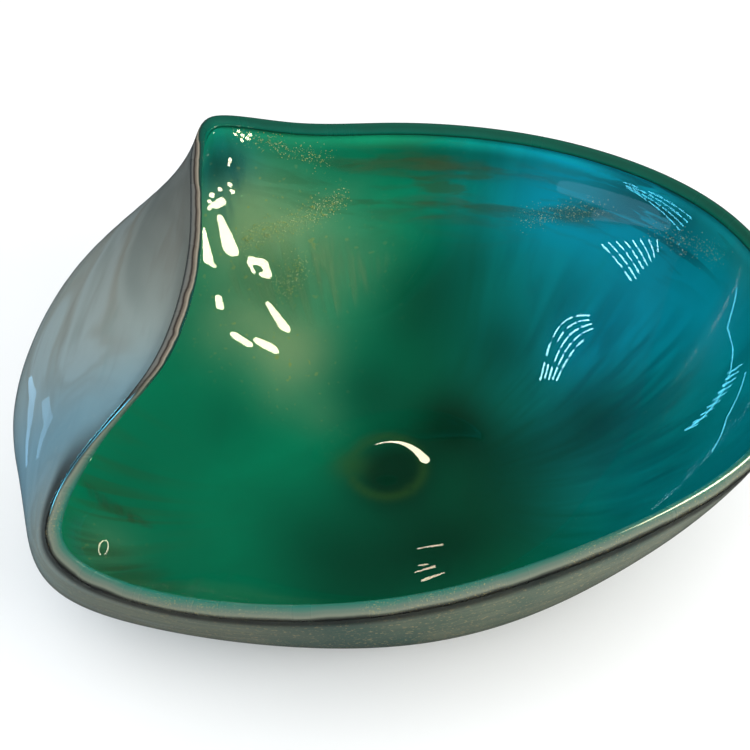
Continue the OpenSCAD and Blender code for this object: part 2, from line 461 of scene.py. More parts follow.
def emerald_material():
    """The colour inside the bowl: emerald that turns teal to the right, with a pale bloom that is
    partly painted light, and painted light and painted shade laid over it.
    """
    shader = Shader("emerald")
    flow = shader.field("flow", vector=True)
    place = shader.place()
    rising = shader.noise(shader.stretch(flow, (7, 7, 1.5)), 2, detail=4, rough=0.5, warp=0.5)
    around = shader.noise(shader.stretch(flow, (2.2, 2.2, 15)), 2, detail=4, rough=0.55, warp=0.5)
    cloud = shader.noise(place, 16, detail=4, warp=0.6)
    grain = shader.noise(place, 420, detail=1)
    green = shader.ramp(cloud, [
        (0.30, srgb(0, 156, 116)), (0.5, srgb(0, 167, 125)), (0.70, srgb(0, 178, 134)),
    ])
    teal = shader.ramp(rising, [
        (0.30, srgb(0, 158, 168)), (0.52, srgb(0, 176, 188)), (0.74, srgb(0, 196, 210)),
    ])
    colour = shader.mix(shader.field("teal"), green, teal)
    # painted light: bright blue glow of window light on the upper right of the wall
    colour = shader.mix(shader.field("blue_window_light"), colour, srgb(0, 214, 255))
    waves = shader.math("MULTIPLY", shader.field("waves"), shader.grade(around, 0.50, 0.57))
    colour = shader.mix(waves, colour, srgb(0, 84, 96))
    colour = shader.mix(shader.grade(rising, 0.58, 0.74, 0, 0.12), colour, srgb(0, 140, 112))
    soften = shader.grade(cloud, 0.25, 0.7, 0.75, 1.1)
    # pale bloom of the glass, partly painted warm light
    pale = shader.math("MULTIPLY", shader.field("pale"), soften)
    colour = shader.mix(pale, colour, srgb(196, 214, 162))
    # painted shade: darker green over the far wall, the floor and under the far rim
    colour = shader.mix(shader.field("deep"), colour, srgb(0, 60, 36))
    olive = shader.math("MULTIPLY", shader.field("olive"), shader.grade(rising, 0.42, 0.6))
    colour = shader.mix(olive, colour, srgb(70, 128, 76))
    amber = shader.math("MULTIPLY", shader.field("amber"), shader.grade(around, 0.46, 0.62))
    colour = shader.mix(amber, colour, srgb(70, 100, 56))
    colour = shader.mix(shader.field("ring"), colour, srgb(90, 130, 60))
    # painted light: light turquoise band, as light seen through the thin near rim
    colour = shader.mix(shader.field("band"), colour, srgb(84, 194, 172))
    # painted light: the top of the far wall, just under the rim, made brighter
    colour = shader.mix(shader.field("lift"), colour, colour, how="ADD")
    dust = shader.math("MULTIPLY", shader.grade(grain, 0.66, 0.76), shader.field("pale"))
    colour = shader.mix(dust, colour, srgb(206, 206, 120))
    shader.set(Base_Color=colour, Roughness=shader.grade(cloud, 0.3, 0.7, 0.38, 0.55),
               Specular_IOR_Level=0.25)
    shader.bump(rising, 0.0003, 0.3)
    return shader.material


def bead_material():
    """The wrap at the rim: green inside and darker outside, with a pale line near the top that is
    partly pearl and partly painted highlight, and painted shade down the outside.
    """
    shader = Shader("lip_bead")
    across = shader.field("across")
    flow = shader.field("flow", vector=True)
    place = shader.place()
    wander = shader.noise(shader.stretch(flow, (4, 4, 2)), 2, detail=3)
    shifted = shader.math("ADD", across, shader.grade(wander, 0.3, 0.7, -0.04, 0.04))
    # near rim: the light turquoise inside is painted light through the rim, the pale band near the top
    # is partly pearl and partly painted highlight, and the near-black under the outside is painted
    # shade
    near = shader.ramp(shifted, [
        (0.02, srgb(34, 132, 112)), (0.28, srgb(40, 118, 102)), (0.46, srgb(66, 114, 98)),
        (0.60, srgb(96, 116, 102)), (0.74, srgb(118, 126, 110)), (0.84, srgb(70, 76, 66)),
        (0.93, srgb(12, 18, 16)), (0.99, srgb(10, 16, 14)),
    ])
    # far rim: the darkening over the top and outside is painted shade
    far = shader.ramp(shifted, [
        (0.02, srgb(4, 100, 80)), (0.30, srgb(6, 80, 62)), (0.46, srgb(18, 84, 66)),
        (0.56, srgb(6, 48, 36)), (0.76, srgb(10, 36, 28)), (0.98, srgb(14, 22, 18)),
    ])
    # fold: the pale line near the top is a painted highlight and the dark line below it is painted
    # shade
    folded = shader.ramp(shifted, [
        (0.02, srgb(0, 104, 80)), (0.40, srgb(4, 84, 68)), (0.56, srgb(12, 74, 62)),
        (0.63, srgb(30, 54, 46)), (0.70, srgb(146, 138, 122)), (0.78, srgb(108, 100, 88)),
        (0.85, srgb(48, 42, 38)), (0.92, srgb(104, 104, 98)), (0.99, srgb(100, 102, 98)),
    ])
    colour = shader.mix(shader.field("folded"), far, folded)
    colour = shader.mix(shader.field("near_rim"), colour, near)
    dust = shader.grade(shader.noise(place, 2600, detail=1), 0.60, 0.72, 0, 0.45)
    where = shader.grade(shader.noise(place, 40, detail=2), 0.42, 0.6)
    gold = shader.math("MULTIPLY", shader.math("MULTIPLY", dust, where), shader.field("near_rim"))
    colour = shader.mix(gold, colour, srgb(214, 196, 132))
    shader.set(
        Base_Color=colour,
        Metallic=shader.math("MULTIPLY", gold, 0.5),
        Roughness=shader.grade(wander, 0.3, 0.7, 0.24, 0.34),
        Coat_Weight=1.0,
        Coat_Roughness=0.03,
        Coat_IOR=1.5,
    )
    shader.bump(shader.noise(place, 24, detail=1), 0.0002, 0.5)
    return shader.material


def colour_glass(name, deep, light, grain, strength):
    """Opaque coloured glass laid on the core, with feathered edges and streaks."""
    shader = Shader(name)
    flow = shader.field("flow", vector=True)
    streak = shader.noise(shader.stretch(flow, grain), 2, detail=4, warp=0.6)
    colour = shader.mix(shader.grade(streak, 0.35, 0.65), deep, light)
    torn = shader.grade(streak, 0.34, 0.66, 0, strength)
    shader.set(Base_Color=colour, Roughness=0.4, Specular_IOR_Level=0.25,
               Alpha=shader.math("MULTIPLY", shader.field("cover"), torn))
    return shader.material


def flake_material(name, deep, light):
    """Metal leaf that differs a little from flake to flake."""
    shader = Shader(name)
    tone = shader.noise(shader.place(), 700, detail=1)
    colour = shader.mix(shader.grade(tone, 0.35, 0.65), deep, light)
    shader.set(Base_Color=colour, Metallic=0.1, Roughness=shader.grade(tone, 0.3, 0.7, 0.3, 0.5))
    return shader.material


def foot_material():
    """Finely ground glass under a half gloss."""
    shader = Shader("foot_glass")
    place = shader.place()
    ground = shader.noise(place, 300, detail=3)
    colour = shader.mix(shader.grade(ground, 0.35, 0.65), srgb(96, 104, 100), srgb(128, 134, 130))
    shader.set(Base_Color=colour, Roughness=shader.grade(ground, 0.3, 0.7, 0.18, 0.4),
               Coat_Weight=0.6, Coat_Roughness=0.08)
    shader.bump(ground, 0.0001, 0.4)
    return shader.material


def give(piece, material):
    piece.data.materials.append(material)
    return piece


# ---- Layers of the wall ----

# Soft spots of colour, painted light and painted shade on the inside: an amount, a place from the
# middle of the foot and a reach
TEAL_SPOTS = ((0.8, (-64, 71, 90), 11),)
# Painted light: bright blue glow of window light on the upper right
BLUE_WINDOW_LIGHT_SPOTS = (
    (0.95, (54, 78, 74), 22), (0.8, (80, 68, 72), 22), (0.8, (74, 48, 40), 19),
    (0.5, (98, 34, 58), 18), (0.6, (58, 47, 28), 11),
)
WAVE_SPOTS = ((0.7, (76, 70, 80), 15), (0.6, (92, 54, 74), 12))
# Pale bloom of the glass, partly painted warm light and a painted highlight
PALE_BLOOM_AND_GLOW_SPOTS = (
    (0.76, (-56, 70, 66), 20), (0.28, (-30, 68, 52), 20), (0.80, (-43, 52, 22), 13),
    (0.1, (-48, 38, 12), 9), (0.3, (-65, 55, 35), 14), (0.3, (-97, -33, 24), 10),
    (0.42, (-55, 54, 36), 12), (0.25, (-58, 69, 79), 9), (0.18, (-32, 33, 12), 9),
)
# Painted shade on the far wall and the floor
PAINTED_SHADE_SPOTS = (
    (0.80, (14, 32, 7), 19), (0.55, (-16, 40, 14), 14), (0.90, (-9, 9, 7), 17),
    (0.45, (28, 10, 7), 20), (0.62, (4, 68, 34), 24), (0.15, (4, 52, 20), 18),
    (0.30, (21, 76, 51), 18), (0.70, (12, -22, 8), 24), (0.60, (-22, -32, 9), 26),
    (0.70, (66, 24, 16), 17), (0.3, (43, -14, 7), 20), (0.45, (88, 60, 76), 11),
    (0.75, (-64, 71, 92), 9), (0.45, (34, 54, 22), 14), (0.25, (-38, -14, 9), 18),
    (0.28, (-61, 26, 15), 13), (0.28, (45, 19, 11), 14),
)
MOST_COVER = 0.95

# Teal begins along a slanted line across the bowl, and is full further to the right
TEAL_FROM = 14
TEAL_TO = 78
TEAL_SLANT = 0.30

# The floor ends a little up the wall. An olive smear lies beside the pontil mark.
FLOOR_TOP = 0.12
SMEAR_AT = (-22, 12)
SMEAR_R = 6

# Points across the lip, how far it goes on round under its widest part, and how far it sinks
# into the wall there
BEAD_SIDES = 24
BEAD_TUCK = math.radians(10)
BEAD_SINK = 0.12


def beside(u, station, half):
    """1 at a station, fading away round the bowl on both sides of it."""
    return bump(round_to(u, station), 0, half)


def blobs(points, spots):
    """How much of a colour its soft round spots lay on each point."""
    total = 0
    for amount, at, reach in spots:
        away = np.linalg.norm(points - FOOT_AT - at, axis=1)
        total = total + amount * np.exp(-(away / reach)**2)
    return np.clip(total, 0, MOST_COVER)


def paint_pearl(u, v, points):
    """The near side is olive and dusted with gold; the left end gets a painted blue reflection, the
    fold's upper outside painted shade, and a painted shade line runs under the lip away from the fold.
    """
    folded = smooth_step(5, 6, u) * (1 - smooth_step(10.2, 11.2, u))
    return {
        "near": beside(u, NEAR + 0.2, 3.0),
        # painted shade on the upper outside of the fold
        "fold_top_shade": 0.65 * beside(u, CORNER + 1, 2.2) * smooth_step(76, 104, points[:, 2]),
        # painted reflection of blue window light at the left end
        "blue_reflection": 0.75 * beside(u, 10.3, 1.0),
        # painted shade: a dark line under the lip, left off along the fold
        "line": 0.85 * smooth_step(0.90, 0.95, v) * (1 - folded),
    }


def paint_emerald(u, v, points):
    """Where the colours of the inside change, and where painted light and painted shade lie on them."""
    x, y, _ = (points - FOOT_AT).T
    teal = smooth_step(TEAL_FROM, TEAL_TO, x + TEAL_SLANT*y)
    streak = bump(v, 0.64 + 0.14 * (5.9 - u), 0.03) * bump(u, 5.2, 0.6)
    # painted shade under the far rim
    shade_under_rim = bump(v, 1, 0.16) * (1 - smooth_step(0.94, 1, v)) * beside(u, FAR + 0.5, 1.5)
    ring = bump(np.hypot(x - PONTIL_AT[0], y - PONTIL_AT[1]) / PONTIL_R, 0.82, 0.12)
    smear = bump(np.hypot(x - SMEAR_AT[0], y - SMEAR_AT[1]), 0, SMEAR_R)
    return {
        # painted light just under the far rim
        "lift": 0.9 * smooth_step(0.945, 0.985, v) * beside(u, FAR, 2.6),
        "teal": np.maximum(teal, blobs(points, TEAL_SPOTS)),
        # painted light: blue glow of window light
        "blue_window_light": blobs(points, BLUE_WINDOW_LIGHT_SPOTS),
        "waves": blobs(points, WAVE_SPOTS),
        # pale bloom, partly painted warm light
        "pale": 0.22 * streak + blobs(points, PALE_BLOOM_AND_GLOW_SPOTS),
        "deep": np.maximum(0.68 * shade_under_rim, blobs(points, PAINTED_SHADE_SPOTS)),
        "olive": 0.5 * beside(u, 9.8, 1.2) * bump(v, 0.34, 0.12),
        "amber": 0.6 * beside(u, FAR + 0.7, 1.5) * bump(v, 0.86, 0.11),
        "ring": (v < FLOOR_TOP) * np.maximum(0.4 * ring, 0.45 * smear),
        # painted light: light turquoise under the near rim
        "band": 0.90 * smooth_step(0.85, 0.975, v) * beside(u, NEAR - 0.2, 3.9),
    }


def lip_bead():
    """Fire-polished wrap that closes the ends of the layers and tucks in under its widest part."""
    u = np.arange(COLUMNS) / COLUMNS * TURN
    point, out, up, thick = wall(u, 1.0 + 0*u)
    middle = point - out * (thick / 2)[:, None]
    points = []
    across = []
    for a in np.linspace(-BEAD_TUCK, math.pi + BEAD_TUCK, BEAD_SIDES):
        rise = math.sin(a)
        outside = a > math.pi / 2
        reach = thick/2 + LIP_SWELL * max(0, rise)**2 * outside - BEAD_SINK * (rise < 0)
        points.append(middle - out * (math.cos(a) * reach)[:, None] + up * (LIP_H * rise))
        across.append(np.full(COLUMNS, a / math.pi))
    points = np.stack(points, 1).reshape(-1, 3)
    station = np.repeat(u, BEAD_SIDES)
    faces = []
    for i in range(COLUMNS):
        a = i * BEAD_SIDES
        b = (i + 1) % COLUMNS * BEAD_SIDES
        for k in range(BEAD_SIDES):
            after = (k + 1) % BEAD_SIDES
            faces.append((a + k, b + k, b + after, a + after))
    fields = flow_of(np.stack([station, np.ones_like(station)], 1), points)
    fields["across"] = np.stack(across, 1).ravel()
    # where the near rim's painted highlight and shade are used, with its gold dust
    fields["near_rim"] = smooth_step(9.6, 10.8, station) * (1 - smooth_step(17.2, 18.8, station))
    fields["folded"] = smooth_step(5.5, 6.1, station) * (1 - smooth_step(9.6, 10.8, station))
    return make("lip_bead", points, faces, ["lip_wrap"], fields)


def foot():
    """Ground foot with a softened edge and the polished hollow under it."""
    low, high = foot_low / MM, foot_high / MM
    radius = (high.x - low.x) / 2
    top = high.z
    bevel = 0.9
    chamfer = 0.3
    hollow_r = 13.0
    hollow_d = 1.2
    outline = [(hollow_r * (1 - k/10), hollow_d * (1 - (1 - k/10)**2)) for k in range(10, -1, -1)]
    outline += [(hollow_r + (radius - bevel - hollow_r) * k/6, 0) for k in range(1, 7)]
    outline += [(radius - bevel + bevel*math.sin(a), bevel - bevel*math.cos(a))
                for a in np.radians(np.arange(15, 91, 15))]
    outline += [(radius, top - chamfer), (radius - chamfer, top), (radius / 2, top)]
    sides = 128
    angle = np.arange(sides) / sides * 2 * np.pi
    rings = []
    for r, z in outline[1:]:
        rings.append(np.stack([r*np.cos(angle), r*np.sin(angle), np.full(sides, z)], 1) + FOOT_AT)
    points = np.concatenate(rings + [[FOOT_AT + [0, 0, hollow_d]], [FOOT_AT + [0, 0, top]]])
    count = len(rings)
    faces = rings_to_faces(count, sides)
    bottom = count * sides
    last = bottom - sides
    faces += [(bottom, (i + 1) % sides, i) for i in range(sides)]
    faces += [(bottom + 1, last + i, last + (i + 1) % sides) for i in range(sides)]
    return make("ground_foot", points, faces, ["foot"])


def build_bowl():
    glass_out = clear_glass("smoky_glass", srgb(196, 200, 202), density=60, rough=0.02, wave=0.0003)
    glass_in = clear_glass("clear_green_glass", srgb(60, 232, 206), density=110, rough=0.015,
                           wave=0.0001)
    outer = give(layer("outer_gather", OUTER_GLASS, ["outer_casing"]), glass_out)
    inner = give(layer("inner_gather", INNER_GLASS, ["inner_casing"]), glass_in)
    for clear in (outer, inner):
        clear.visible_shadow = False
    give(layer("pearl_core", PEARL, ["pearl_layer"], paint_pearl), pearl_material())
    give(layer("emerald_core", EMERALD, ["emerald_layer"], paint_emerald),
         emerald_material())
    give(lip_bead(), bead_material())
    give(foot(), foot_material())


# ---- Colour laid on the core ----

# Each patch: name, glass, first and last place (u, v), width in v, steps along it and across it
BLOOMS = (
    ("teal_sweep_right", "teal_glass", (-1.4, 0.40), (2.4, 0.60), 0.50, 60, 16),
    ("olive_bloom_near", "olive_glass", (9.9, 0.46), (12.7, 0.32), 0.22, 48, 10),
    ("pale_bloom_fold", "pale_green_glass", (4.0, 0.66), (6.4, 0.50), 0.3, 40, 14),
)
BANDS = (
    ("teal_band_peak", "teal_glass", (5.6, 0.90), (6.25, 0.66), 0.20, 24, 8),
    ("amber_band_high", "amber_glass", (2.3, 0.90), (4.9, 0.91), 0.08, 60, 6),
    ("amber_band_far", "amber_glass", (2.4, 0.80), (4.5, 0.78), 0.10, 48, 6),
    ("amber_band_right", "amber_glass", (1.5, 0.87), (2.6, 0.80), 0.08, 30, 6),
    ("amber_band_near", "amber_glass", (9.3, 0.40), (10.2, 0.26), 0.08, 30, 6),
    ("pale_threads", "pale_green_glass", (10.6, 0.62), (12.6, 0.50), 0.05, 36, 4),
)

# Share of a patch's width that its ends keep
NARROWEST = 0.12

# Each drift of gold: name, leaf, first and last place (u, v), spread in v, flakes and seed
DRIFTS = (
    ("gold_flecks_peak", "gold_flake", (4.7, 0.93), (5.7, 0.97), 0.05, 360, 11),
    ("gold_flecks_fold", "gold_flake", (5.9, 0.64), (4.55, 0.83), 0.05, 1100, 12),
    ("gold_flecks_low", "gold_flake", (5.6, 0.52), (5.1, 0.64), 0.07, 360, 13),
    ("gold_flecks_far", "pale_gold_flake", (2.6, 0.78), (1.9, 0.87), 0.06, 460, 14),
    ("gold_flecks_right", "pale_gold_flake", (1.5, 0.86), (0.9, 0.91), 0.06, 340, 15),
    ("gold_flecks_near", "gold_flake", (14.2, 0.95), (18.2, 0.95), 0.05, 520, 16),
)

# A flake's sides, smallest and largest radius, half thickness and tilt, and a drift's spread in u
FLAKE_SIDES = 6
FLAKE_R = (0.07, 0.24)
FLAKE_HALF = 0.02
FLAKE_TILT = 0.22
DRIFT_SPREAD = 0.05


def patch(name, slot, start, end, width, steps, across, shares):
    """A thin closed patch between two places (u, v), feathered at its edges."""
    s = np.linspace(0, 1, steps + 1)
    w = np.linspace(-0.5, 0.5, across + 1)
    wide = width * np.maximum(NARROWEST, np.sin(np.pi * s)**0.7)
    u = start[0] + (end[0] - start[0]) * s[:, None] + 0*w
    v = start[1] + (end[1] - start[1]) * s[:, None] + wide[:, None] * w
    cover = np.sin(np.pi * s)[:, None]**0.8 * np.cos(np.pi * w)**1.2
    low = in_wall(u, v, shares[0])
    high = in_wall(u, v, shares[1])
    row = across + 1
    n = row * (steps + 1)

    def at(i, j):
        return i*row + j

    quads = [(at(i, j), at(i + 1, j), at(i + 1, j + 1), at(i, j + 1))
             for i in range(steps) for j in range(across)]
    faces = [tuple(n + k for k in q) for q in quads] + quads
    edge = [at(i, 0) for i in range(steps)] + [at(steps, j) for j in range(across)]
    edge += [at(i, across) for i in range(steps, 0, -1)] + [at(0, j) for j in range(across, 0, -1)]
    for a, b in zip(edge, edge[1:] + edge[:1]):
        faces.append((a, b, n + b, n + a))
    points = np.concatenate([low.reshape(-1, 3), high.reshape(-1, 3)])
    places = np.tile(np.stack([u.ravel(), v.ravel()], 1), (2, 1))
    fields = flow_of(places, points)
    fields["cover"] = np.tile(cover.ravel(), 2)
    return make(name, points, faces, [name], fields)


def flakes(name, start, end, width, count, seed):
    """Gold leaf broken into tiny tilted plates, densest along the line from start to end."""
    rng = np.random.default_rng(seed)
    s = rng.random(count)
    u = start[0] + (end[0] - start[0]) * s + rng.normal(0, DRIFT_SPREAD, count)
    v = start[1] + (end[1] - start[1]) * s + rng.normal(0, width / 3, count)
    centre = in_wall(u, v, FLECK)
    _, out, up, _ = wall(u, v)
    sides = FLAKE_SIDES
    points = []
    faces = []
    for k in range(count):
        radius = FLAKE_R[0] + (FLAKE_R[1] - FLAKE_R[0]) * rng.random()**2.5
        normal = unit(out[k] + rng.normal(0, FLAKE_TILT, 3))
        x = unit(np.cross(up[k], normal))
        y = np.cross(normal, x)
        turn = rng.random() * 2 * np.pi
        ragged = radius * (0.65 + 0.5 * rng.random(sides))
        angle = turn + np.arange(sides) / sides * 2 * np.pi
        rim = centre[k] + (np.cos(angle)*ragged)[:, None]*x + (np.sin(angle)*ragged)[:, None]*y
        a = len(points)
        points += list(rim - FLAKE_HALF*normal) + list(rim + FLAKE_HALF*normal)
        faces += [tuple(range(a, a + sides)), tuple(range(a + sides, a + 2*sides))]
        faces += [(a + i, a + (i + 1) % sides, a + sides + (i + 1) % sides, a + sides + i)
                  for i in range(sides)]
    return make(name, points, faces, [name], smooth=False)


def build_colours():
    rising = (9, 9, 1.8)
    around = (2, 2, 18)
    glass = {name: colour_glass(name, srgb(*deep), srgb(*light), grain, strength)
             for name, deep, light, grain, strength in (
                 ("teal_glass", (0, 124, 138), (0, 154, 170), rising, 0.4),
                 ("olive_glass", (66, 116, 74), (96, 136, 84), rising, 0.4),
                 ("pale_green_glass", (110, 168, 120), (186, 212, 156), rising, 0.5),
                 ("amber_glass", (66, 86, 48), (116, 116, 70), around, 0.45))}
    for patches, shares in ((BLOOMS, BLOOM), (BANDS, BAND)):
        for name, slot, *course in patches:
            give(patch(name, slot, *course, shares), glass[slot])


def build_gold():
    leaf = {name: flake_material(name, srgb(*deep), srgb(*light)) for name, deep, light in (
        ("gold_flake", (236, 226, 130), (255, 255, 200)),
        ("pale_gold_flake", (150, 214, 190), (232, 255, 226)))}
    for name, kind, *drift in DRIFTS:
        give(flakes(name, *drift), leaf[kind])


# ---- Studio ----

MIDDLE = Vector(np.mean(cad_box, axis=0))
VIEW_TARGET = np.array([-8.3, 11.4, 47.5])
VIEW_DISTANCE = 360
VIEW_RISE = math.radians(48)
CAMERA_AT = VIEW_TARGET + VIEW_DISTANCE * np.array([0, -math.cos(VIEW_RISE), math.sin(VIEW_RISE)])
LENS = 52.9
SENSOR = 36

# How bright the surroundings are to the camera and to matt glass, to gloss and through glass
AIR = (0.86, 0.87, 0.88)
GLOSS_LEVEL = 0.045
THROUGH_LEVEL = 0.4


def aim(thing, target):
    """Turns a lamp or camera to look along its own -Z at a place."""
    thing.rotation_euler = (Vector(target) - thing.location).to_track_quat("-Z", "Y").to_euler()


def lamp(name, direction, distance, size, radiance, colour=(1, 1, 1), target=MIDDLE):
    """A soft round lamp of that radiance, which the glass doesn't mirror."""
    data = bpy.data.lights.new(name, "AREA")
    data.shape = "DISK"
    data.size = size
    data.energy = radiance * math.pi * math.pi * size**2 / 4
    data.color = colour
    made = bpy.data.objects.new(name, data)
    bpy.context.scene.collection.objects.link(made)
    made.location = Vector(target) + Vector(direction).normalized() * distance
    aim(made, target)
    made.visible_camera = False
    made.visible_transmission = False
    made.visible_glossy = False


def world():
    """A pale room for the camera and for what is matt, and a dim one for reflections."""
    made = bpy.data.worlds.new("studio")
    made.use_nodes = True
    bpy.context.scene.world = made
    tree = made.node_tree
    path = tree.nodes.new("ShaderNodeLightPath")
    mixes = []
    for ray, level in (("Is Glossy Ray", GLOSS_LEVEL), ("Is Transmission Ray", THROUGH_LEVEL)):
        mix = tree.nodes.new("ShaderNodeMix")
        mix.data_type = "RGBA"
        tree.links.new(path.outputs[ray], mix.inputs[0])
        mix.inputs[7].default_value = (level, level, level, 1)
        mixes.append(mix)
    gloss, through = mixes
    gloss.inputs[6].default_value = (*AIR, 1)
    tree.links.new(gloss.outputs[2], through.inputs[6])
    tree.links.new(through.outputs[2], tree.nodes["Background"].inputs[0])


def floor():
    bpy.ops.mesh.primitive_plane_add(size=8, location=(MIDDLE.x, MIDDLE.y, 0))
    plane = bpy.context.object
    plane.name = "floor"
    shader = Shader("floor")
    shader.set(Base_Color=(0.93, 0.93, 0.92, 1), Roughness=0.9, Specular_IOR_Level=0.0)
    plane.data.materials.append(shader.material)
    plane.visible_glossy = False


def lights():
    lamp("soft_top", (-0.2, -0.3, 1), distance=1.6, size=1.4, radiance=1.6)
    lamp("fold_fill", (0.85, -0.30, 0.40), distance=0.9, size=0.5, radiance=6.0,
         target=(-0.08, 0, 0.03))
    lamp("left_window", (-0.97, 0.1, 0.12), distance=1.2, size=1.0, radiance=1.5,
         colour=(0.25, 0.62, 1.0))


def camera():
    """Looks down at the bowl from its near side."""
    data = bpy.data.cameras.new("camera")
    data.sensor_width = SENSOR
    data.lens = LENS
    made = bpy.data.objects.new("camera", data)
    bpy.context.scene.collection.objects.link(made)
    made.location = CAMERA_AT * MM
    aim(made, VIEW_TARGET * MM)
    bpy.context.scene.camera = made


# ---- Highlights ----

# What the gloss mirrors is drawn on small bright cards, each as far off the glass as this, where
# the glass at a place mirrors it to the camera. It is far less than the curved wall's focal length.
CARD_DISTANCE = 4
WARM = (1.0, 0.92, 0.66)
COOL = (0.12, 0.70, 1.0)
PALE_COOL = (0.35, 0.88, 1.0)
HAZE = (0.35, 0.68, 1.0)

# Small bulbs: u, v and radius
DOTS = (
    (5.70, 0.972, 0.6), (5.64, 0.985, 0.5), (5.60, 0.972, 0.6), (5.54, 0.965, 0.7),
    (5.50, 0.978, 0.6), (5.62, 0.955, 0.6), (5.90, 0.806, 0.8), (6.08, 0.785, 0.9),
    (6.24, 0.765, 1.1), (5.88, 0.786, 0.9), (6.30, 0.745, 0.8),
)
DOT_LENGTH = 0.01

# Strokes on the wall: the first and last place (u, v), and the radius at each
BULBS = (
    ((5.88, 0.865), (5.84, 0.885), (0.5, 0.6)), ((6.20, 0.735), (6.08, 0.750), (1.3, 1.7)),
    ((6.32, 0.725), (6.22, 0.740), (0.8, 0.8)), ((6.15, 0.700), (6.10, 0.618), (1.4, 3.3)),
    ((6.46, 0.665), (6.50, 0.575), (0.5, 1.9)), ((6.52, 0.575), (6.44, 0.560), (1.5, 0.9)),
    ((5.77, 0.478), (5.67, 0.420), (1.3, 2.6)), ((6.56, 0.470), (6.60, 0.445), (1.2, 1.5)),
    ((6.62, 0.362), (6.50, 0.340), (1.7, 2.0)), ((6.26, 0.347), (6.08, 0.333), (2.0, 2.6)),
)
ROUND_BULB = (
    ((5.82, 0.600), (5.66, 0.603), (1.6, 1.9)), ((5.66, 0.600), (5.64, 0.575), (1.9, 1.6)),
    ((5.86, 0.590), (5.84, 0.565), (1.1, 0.7)), ((5.74, 0.565), (5.66, 0.570), (0.9, 1.4)),
)
SKY_PANE = (
    ((2.30, 0.900), (1.55, 0.900), (2.5, 4.0)), ((1.95, 0.850), (1.42, 0.900), (2.0, 2.5)),
)

# Strokes on the floor: x and y from the middle of the foot, and the radii
FLOOR_GLINTS = (
    ((1, -24), (9, -22.5), (0.25, 0.35)), ((0, -33), (6, -31), (0.2, 0.5)),
    ((2, -35.5), (9, -33), (0.4, 0.2)), ((1, -30.5), (4, -30), (0.2, 0.3)),
)
CRESCENT = ((-13, 19.5), (-2, 24), (4.5, 12.5))
CRESCENT_STEPS = 8

# An open loop of light at the near left
LOOP_AT = (10.82, 0.395)
LOOP_HALF = (0.22, 0.018)
LOOP_SKEW = 0.8
LOOP_THICK = 0.22

# Blinds: the first and last arc of slats, how many, how often the cords break them, radius, seed
BLINDS_LOW = (((1.64, 0.325), (2.06, 0.550), (1.58, 0.580)),
              ((1.46, 0.350), (1.62, 0.465), (1.46, 0.545)), 5, 5, 0.30, 3)
BLINDS_HIGH = (((1.84, 0.78), (1.62, 0.75), (1.40, 0.71)),
               ((1.42, 0.85), (1.39, 0.84), (1.36, 0.82)), 8, 3, 0.23, 4)
BLINDS_RIM = (((1.84, 0.965), (1.54, 0.975), (1.24, 0.955)),
              ((1.80, 0.955), (1.50, 0.935), (1.28, 0.905)), 4, 9, 0.24, 5)
SLAT_MISSING = 0.06

# A window frame seen along its side at the right end, and the rungs between its lines
FRAME_LINE = (
    (0.64, 0.89), (0.49, 0.80), (0.31, 0.787), (0.16, 0.752), (0.04, 0.70), (-0.035, 0.64),
    (-0.04, 0.58),
)
SECOND_LINE = ((0.05, 0.80), (-0.10, 0.76), (-0.22, 0.72), (-0.40, 0.70), (-0.52, 0.68))
RUNG_ARC = ((0.31, 0.787), (0.10, 0.76), (-0.04, 0.58))
RUNG_SPAN = (-0.03, 0.045)

# Long gleams on the lip: name, first and last station, turn and width in degrees, colour
GLEAMS = (
    ("rim_gleam_right", (16.4, 18.3), 84, 9, WARM),
    ("rim_gleam_left", (10.1, 11.2), 72, 9, WARM),
    ("rim_gleam_outer", (10.2, 11.8), 142, 20, COOL),
)
GLEAM_STEPS = 23

# Hazy strokes on the outside of the fold, with radii in the wall's own u and v
OUTER_HAZE = (
    ((9.15, 0.765), (9.42, 0.785), (0.006, 0.012)), ((9.42, 0.785), (9.75, 0.780), (0.012, 0.010)),
    ((9.75, 0.780), (10.3, 0.765), (0.010, 0.005)), ((9.60, 0.825), (9.95, 0.840), (0.010, 0.012)),
    ((9.95, 0.840), (10.4, 0.820), (0.012, 0.006)),
)


def mirrored(place, normal):
    """Where a bright thing stands that the glass at a place mirrors to the camera."""
    seen = unit(CAMERA_AT - place)
    turned = 2 * (normal * seen).sum(-1, keepdims=True) * normal - seen
    return place + turned * CARD_DISTANCE


def on_wall(u, v):
    """Card points for highlights at places on the inside of the wall."""
    _, out, _, _ = wall(u, v)
    return mirrored(in_wall(u, v, 1), -out)


def on_floor(x, y):
    """Card points for highlights on the floor, at x and y from the middle of the foot."""
    place = np.stack([x, y, np.full_like(x, FOOT_H + WALL_BASE)], -1) + FOOT_AT
    dx, dy = x - PONTIL_AT[0], y - PONTIL_AT[1]
    slope = 4 * PONTIL_DEPTH / PONTIL_R**2 * np.clip(1 - (dx**2 + dy**2) / PONTIL_R**2, 0, None)
    normal = unit(np.stack([-slope*dx, -slope*dy, np.ones_like(x)], -1))
    return mirrored(dimple(place, 1), normal)


def on_bead(u, turn):
    """Card points for highlights on the lip, turned in degrees from the inside over the top."""
    point, out, up, thick = wall(u, 1.0 + 0*u)
    turn = math.radians(turn)
    normal = unit(up * (math.sin(turn) / LIP_H) - out * (2 * math.cos(turn) / thick[:, None]))
    place = point - out * (thick / 2 * (1 + math.cos(turn)))[:, None] + up * (LIP_H * math.sin(turn))
    return mirrored(place, normal)


